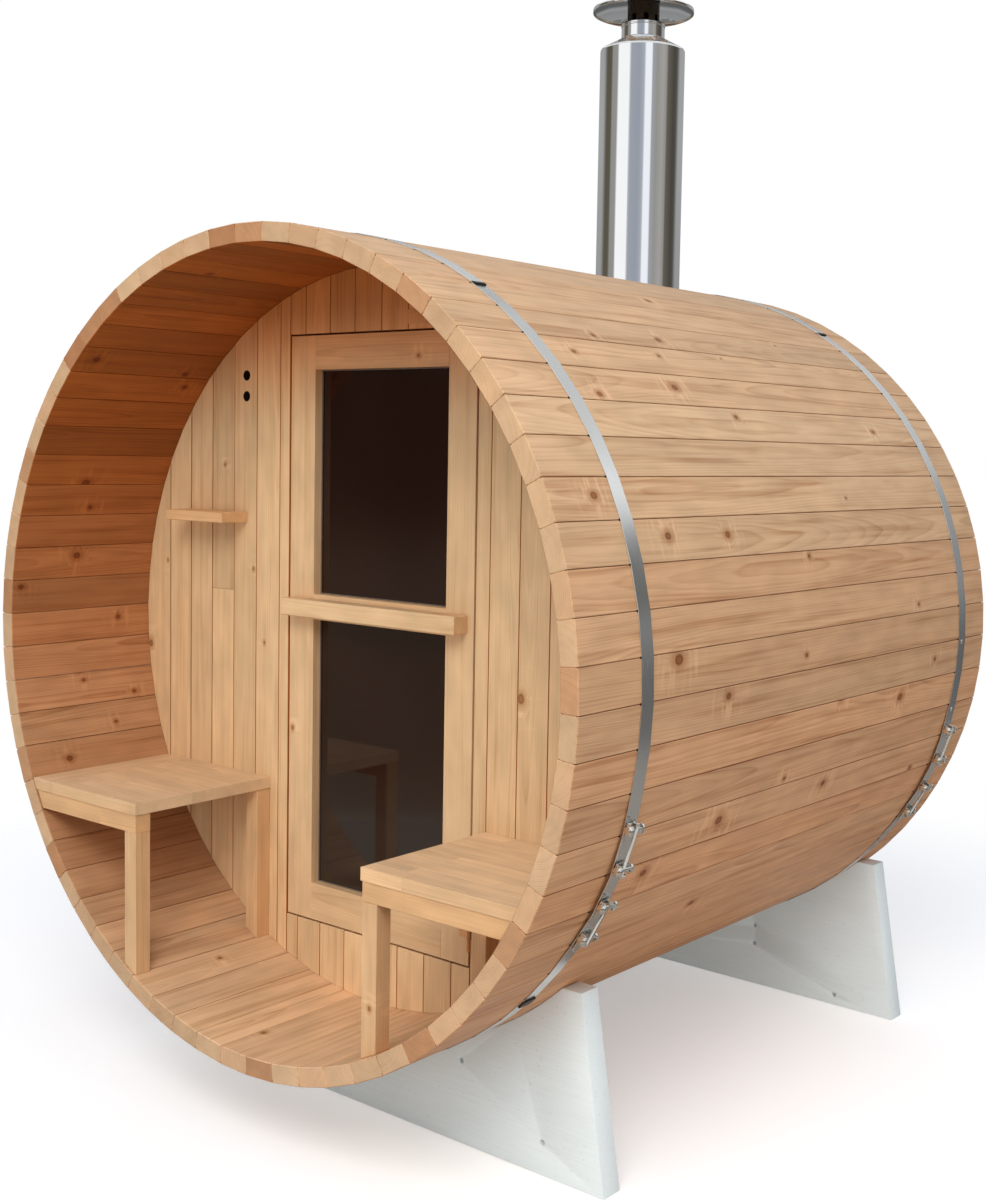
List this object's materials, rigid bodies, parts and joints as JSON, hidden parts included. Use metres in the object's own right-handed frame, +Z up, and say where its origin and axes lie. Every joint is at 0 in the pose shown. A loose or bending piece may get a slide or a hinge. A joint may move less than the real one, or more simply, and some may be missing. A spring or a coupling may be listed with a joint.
{
  "type": "barrel sauna",
  "caption": "Round timber sauna cabin on two cradles, with an open porch, a glazed door, porch benches, steel hoops and an insulated flue.",
  "frame": {"origin": "on the ground, under the middle of the barrel's length and width", "axes": "+Z up, the barrel's axis along Y, the open porch towards -Y"},
  "size_m": [1.9742, 1.91, 3.0109],
  "materials": {
    "stave_wood": "oiled softwood staves",
    "wall_wood": "planed softwood boards",
    "door_wood": "planed softwood",
    "bench_wood": "planed softwood",
    "dark_glass": "dark tinted toughened glass",
    "hinge_steel": "brushed",
    "hoop_steel": "bright strip steel",
    "lock_steel": "zinc plated",
    "white_paint": "white painted timber",
    "flue_steel": "polished stainless sheet"
  },
  "bodies": {
    "sauna": {"staves_01": "stave_wood", "staves_02": "stave_wood", "staves_03": "stave_wood", "staves_04": "stave_wood", "staves_05": "stave_wood", "staves_06": "stave_wood", "staves_07": "stave_wood", "staves_08": "stave_wood", "staves_09": "stave_wood", "staves_10": "stave_wood", "staves_11": "stave_wood", "front_wall_left": "wall_wood", "front_wall_right": "wall_wood", "front_wall_top": "wall_wood", "front_wall_bottom": "wall_wood", "back_wall": "wall_wood", "hinge_pins": "hinge_steel", "left_bench_seat": "bench_wood", "left_bench_beam": "bench_wood", "left_bench_front_leg": "bench_wood", "left_bench_back_leg": "bench_wood", "right_bench_seat": "bench_wood", "right_bench_beam": "bench_wood", "right_bench_front_leg": "bench_wood", "right_bench_back_leg": "bench_wood", "porch_shelf": "bench_wood", "hoop_front": "hoop_steel", "hoop_rear": "hoop_steel", "hoop_locks_front": "lock_steel", "hoop_locks_rear": "lock_steel", "cradle_front": "white_paint", "cradle_rear": "white_paint", "flue_casing": "flue_steel", "flue_liner": "flue_steel", "rain_cap_stays": "flue_steel", "rain_cap": "flue_steel"},
    "door": {"door_stile_left": "door_wood", "door_stile_right": "door_wood", "door_rail_top": "door_wood", "door_rail_middle": "door_wood", "door_rail_bottom": "door_wood", "door_glass_upper": "dark_glass", "door_glass_lower": "dark_glass", "door_handle_bar": "door_wood", "door_hinge_leaves": "hinge_steel"}
  },
  "joints": [
    {"name": "door_hinge", "type": "hinge", "parent": "sauna", "child": "door", "pos_m": [0.3285, -0.521, 1.175], "axis": [0, 0, 1], "range_deg": [0, 90]}
  ]
}
